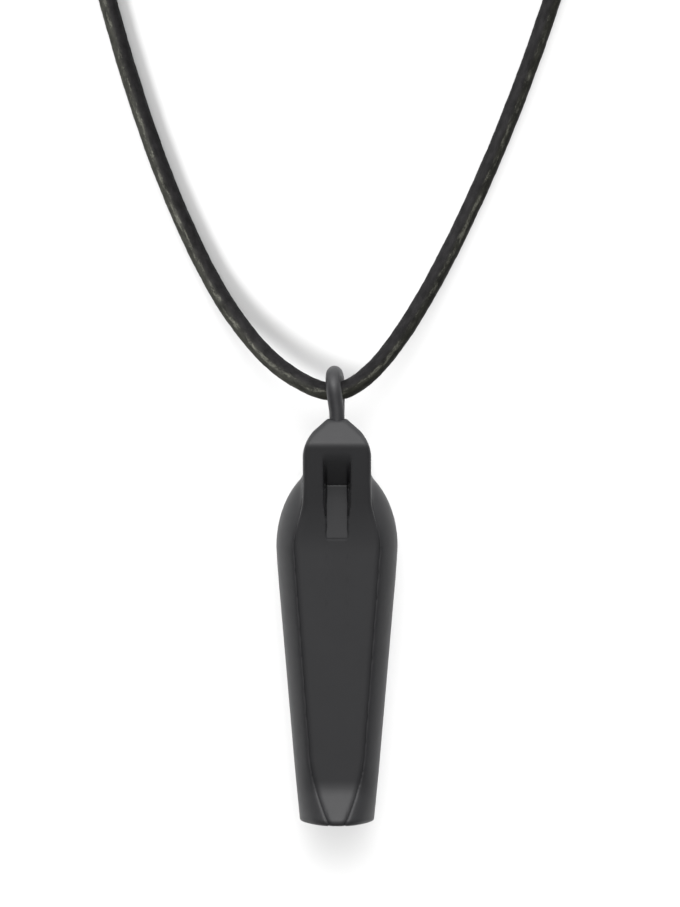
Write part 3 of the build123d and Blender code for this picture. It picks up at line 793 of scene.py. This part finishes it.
def ramp_gaps(x, y, z):
    """The narrow gaps beside the ramp, which run on up both sides of the upper wall. They close
    towards the ramp's root."""
    steep = WALL_SLOPE + GAP_DEPTH / (GAP_TOP_Y - THROAT_Y)
    beside_wall = THROAT_Z - GAP_DEPTH + (y - THROAT_Y) * steep
    floor = np.maximum(beside_wall, GAP_FLOOR_Z)
    opened = np.clip((y - GAP_LOW_Y) / (GAP_WIDE_Y - GAP_LOW_Y), GAP_CLOSED, 1)
    outer = np.abs(x) - RAMP_HALF - (SLOT_HALF - RAMP_HALF) * opened
    return both(np.maximum(outer, RAMP_HALF - np.abs(x)), (floor - z) / GAP_FLOOR_LEAN)


def ramp_height(y):
    """Top of the sound ramp: flush at its root, dished, and level again at its free lip."""
    return RAMP_LIP_Z + RAMP_DISH * (LIP_Y - y) ** 2 + LIP_RISE * np.maximum(y - LIP_RISE_Y, 0) ** 2


def cover_field(x, y, z):
    """The front half: panel, head and bite ramp, with the outlet slot."""
    outline = outline_field(x, y)
    head = np.clip((y - HEAD_EDGE_Y) / HEAD_EDGE_BLEND, 0, 1)
    fall = (1 - head) * edge_fall(-outline, PANEL_FALL, PANEL_FALL_REACH)
    top = both(front_field(y, z) + fall, end_field(x, y), BITE_EDGE)
    cover = both(outline + SEAM * (1 - head), top, FIRM_EDGE + HEAD_EDGE_MORE * head)
    cover = both(cover, PARTING_Z + SEAM - z, BOTTOM_EDGE)
    cover = without(cover, outlet_slot(x, y, z), SLOT_EDGE)
    cover = without(cover, ramp_gaps(x, y, z), GAP_EDGE)
    under_ramp = np.maximum(ramp_height(y) - RAMP_BED - z, y - THROAT_Y)
    cover = without(cover, both(np.abs(x) - RAMP_HALF, under_ramp), RAMP_BED_EDGE)
    return without(cover, hollows(x, y, z))


def shell_field(x, y, z):
    """The rear half: the round body, and the lower part of the head."""
    body = body_field(x, y, z) + edge_fall(outline_field(x, y), RIM_FALL, RIM_FALL_REACH)
    end_edge = END_EDGE + END_EDGE_MORE * np.clip((z - END_SOFT_Z) / END_SOFT_HEIGHT, 0, 1)
    body = both(body, end_field(x, y), end_edge)
    body = both(body, -z, LAND_EDGE)
    head_back = HEAD_BACK_Z + (y - HEAD_BACK_Y) * HEAD_BACK_SLOPE - z
    neck_back = (NECK_BACK_Z + (y - NECK_BACK_Y) * NECK_BACK_SLOPE - z) / NECK_BACK_LEAN
    head = both(outline_field(x, y), np.maximum(HEAD_BACK_Y - y, z - HEAD_TOP_Z), FIRM_EDGE)
    head = both(head, np.maximum(head_back, neck_back), BACK_EDGE)
    shell = either(body, head, SHOULDER_FILLET)
    shell = both(shell, front_field(y, z), FIRM_EDGE)
    pocket = np.maximum(outline_field(x, y) - SEAM, PARTING_Z - z)
    shell = without(shell, pocket, RIM_EDGE)
    return without(shell, hollows(x, y, z))


def ramp_field(x, y, z):
    """The sprung tongue in the slot, thin at its lip."""
    low = (-RAMP_HALF - RAMP_PRESS, RAMP_ROOT_Y, RAMP_LOW_Z)
    high = (RAMP_HALF + RAMP_PRESS, LIP_Y, RAMP_HIGH_Z)
    bar = box_field(x, y, z, low, high, RAMP_EDGE)
    top = np.maximum(z - ramp_height(y), front_field(y, z, RAMP_INSET))
    lip = np.clip((y - LIP_EDGE_Y) / LIP_EDGE_BLEND, 0, 1)
    bar = both(bar, top, RAMP_EDGE + LIP_EDGE_MORE * lip)
    under = (RAMP_LIP_Z - LIP_THICK - (LIP_Y - y) * UNDER_RAMP_SLOPE - z) / UNDER_RAMP_LEAN
    return both(bar, under, RAMP_EDGE)


def net_mesh(name, field, low, high, step):
    """A quad mesh of a distance field's zero level: one point in each cell that it crosses."""
    axes = [np.arange(a, b + step, step) for a, b in zip(low, high)]
    x, y, z = np.meshgrid(*axes, indexing="ij", sparse=True)
    values = np.broadcast_to(field(x, y, z), [len(a) for a in axes])
    cells = [len(a) - 1 for a in axes]
    total = np.zeros([*cells, 3])
    count = np.zeros(cells)
    crossings = []
    for axis in range(3):
        first = np.take(values, range(cells[axis]), axis=axis)
        second = np.take(values, range(1, cells[axis] + 1), axis=axis)
        at = np.argwhere((first < 0) != (second < 0))
        others = [k for k in range(3) if k != axis]
        inner = np.all([(at[:, k] > 0) & (at[:, k] < cells[k]) for k in others], axis=0)
        at = at[inner]
        a = first[tuple(at.T)]
        b = second[tuple(at.T)]
        point = at.astype(float)
        point[:, axis] += a / (a - b)
        around = []
        for one, two in ((0, 0), (1, 0), (1, 1), (0, 1)):
            cell = at.copy()
            cell[:, others[0]] -= one
            cell[:, others[1]] -= two
            np.add.at(total, tuple(cell.T), point)
            np.add.at(count, tuple(cell.T), 1)
            around.append(cell)
        outward = (a < 0) == (axis != 1)
        crossings.append((around, outward))
    used = count > 0
    index = np.full(cells, -1)
    index[used] = np.arange(used.sum())
    points = total[used] / count[used][:, None] * step + np.array(low)
    faces = []
    for around, outward in crossings:
        quads = np.stack([index[tuple(cell.T)] for cell in around], axis=1)
        faces.append(np.where(outward[:, None], quads[:, ::-1], quads))
    mesh = bpy.data.meshes.new(name)
    mesh.from_pydata((points * MM).tolist(), [], np.concatenate(faces).tolist())
    mesh.validate()
    mesh.shade_smooth()
    return mesh


def make_casing():
    """The three skins. Each net fills the box between two corners a little outside its skin."""
    step = NET
    cover = net_mesh("panel_cover", cover_field, (-8.1, -38.6, 8.0), (8.1, 30.2, 17.3), step)
    add_piece("panel_cover", cover, "shell_moulding", "call", "front_cover")
    shell = net_mesh("round_shell", shell_field, (-10.9, -38.6, -0.6), (10.9, 30.2, 14.2),
                     SHELL_NET * step)
    add_piece("round_shell", shell, "shell_moulding", "call", "rear_shell")
    ramp = net_mesh("outlet_ramp", ramp_field, (-2.1, 9.3, 10.4), (2.1, 19.1, 13.4),
                    RAMP_NET * step)
    add_piece("outlet_ramp", ramp, "shell_moulding", "call", "sound_ramp")


make_casing()


# =====================================================================================
# Table and light
# =====================================================================================

TABLE_WHITE = (0.50, 0.50, 0.50)
TABLE_REACH = 3.0
TABLE_SPLIT_Y = 0.03     # the line between its parts is straight from -Y up to here
LIGHT_AT = (-0.54, 0.0, 0.50)
LIGHT_AIM = (0.0, 0.06, 0.0)
LIGHT_SIZE = 0.3
LIGHT_POWER = 9.8
SKY_STRENGTH = 3.8
# brightness from -Y to +Y, and its share from -X to +X, as (place from 0 to 1, level)
SKY = [(0.0, 0.06), (0.25, 0.12), (0.5, 0.32), (0.7, 0.55), (0.85, 2.4), (0.92, 1.2), (1.0, 0.3)]
SKY_SIDES = [(0.0, 0.05), (0.25, 0.4), (0.5, 1.0), (0.75, 0.4), (1.0, 0.05)]


def make_floor():
    """A white table in two parts, so that each can have its own light. They meet in a line that
    runs under the call and under the right strand of the cord."""
    strand = [(*point[:2], 0) for point in ROUTE[ROUTE_BEND:]]
    border = [(0, -TABLE_REACH, 0), (0, TABLE_SPLIT_Y, 0), *strand, (strand[-1][0], TABLE_REACH, 0)]
    material = new_material("table_white", TABLE_WHITE, 0.6)[0]
    for name, side in (("table_left", -1), ("table_right", 1)):
        points = border + [(side * TABLE_REACH, TABLE_REACH, 0), (side * TABLE_REACH, -TABLE_REACH, 0)]
        order = range(len(points)) if side < 0 else range(len(points) - 1, -1, -1)
        mesh = bpy.data.meshes.new(name)
        mesh.from_pydata(points, [], [tuple(order)])
        mesh.materials.append(material)
        floor = bpy.data.objects.new(name, mesh)
        bpy.context.scene.collection.objects.link(floor)


def softbox(name):
    """A square soft light, high on the left."""
    data = bpy.data.lights.new(name, "AREA")
    data.shape = "RECTANGLE"
    data.size = LIGHT_SIZE
    data.size_y = LIGHT_SIZE
    data.energy = LIGHT_POWER
    light = bpy.data.objects.new(name, data)
    light.location = LIGHT_AT
    direction = np.array(LIGHT_AIM) - np.array(LIGHT_AT)
    light.rotation_euler = Vector(direction).to_track_quat("-Z", "Y").to_euler()
    bpy.context.scene.collection.objects.link(light)
    return light


def limit_light(light, lit, shading):
    """Keeps a light to some objects, and its shadows to some others."""
    for name, members in (("receiver_collection", lit), ("blocker_collection", shading)):
        group = bpy.data.collections.new(light.name + "_" + name)
        for member in members:
            group.objects.link(member)
        setattr(light.light_linking, name, group)


def make_light():
    """Soft studio light, bright towards +Y, and a light for each part of the table. The left
    one is shaded by the cord only, and the right one by nothing."""
    world = bpy.data.worlds.new("studio")
    world.use_nodes = True
    tree = world.node_tree
    way = tree.nodes.new("ShaderNodeSeparateXYZ")
    tree.links.new(tree.nodes.new("ShaderNodeTexCoord").outputs["Generated"], way.inputs["Vector"])
    tones = []
    for axis, stops in (("Y", SKY), ("X", SKY_SIDES)):
        level = spread(tree, way.outputs[axis], 0.0, 1.0, -1.0, 1.0)
        tones.append(ramp(tree, level, [(at, (value, value, value)) for at, value in stops]))
    tone = mix_colors(tree, "MULTIPLY", 1.0, *tones)
    tree.links.new(tone, tree.nodes["Background"].inputs["Color"])
    tree.nodes["Background"].inputs["Strength"].default_value = SKY_STRENGTH
    bpy.context.scene.world = world
    objects = bpy.data.objects
    for name, lit, shading in (
        ("cord_light", [objects["table_left"], objects["leather_cord"]], [objects["leather_cord"]]),
        ("table_light", [objects["table_right"]], [objects["table_right"]]),
    ):
        limit_light(softbox(name), lit, shading)


make_floor()
make_light()
bpy.context.scene.view_settings.view_transform = "Standard"
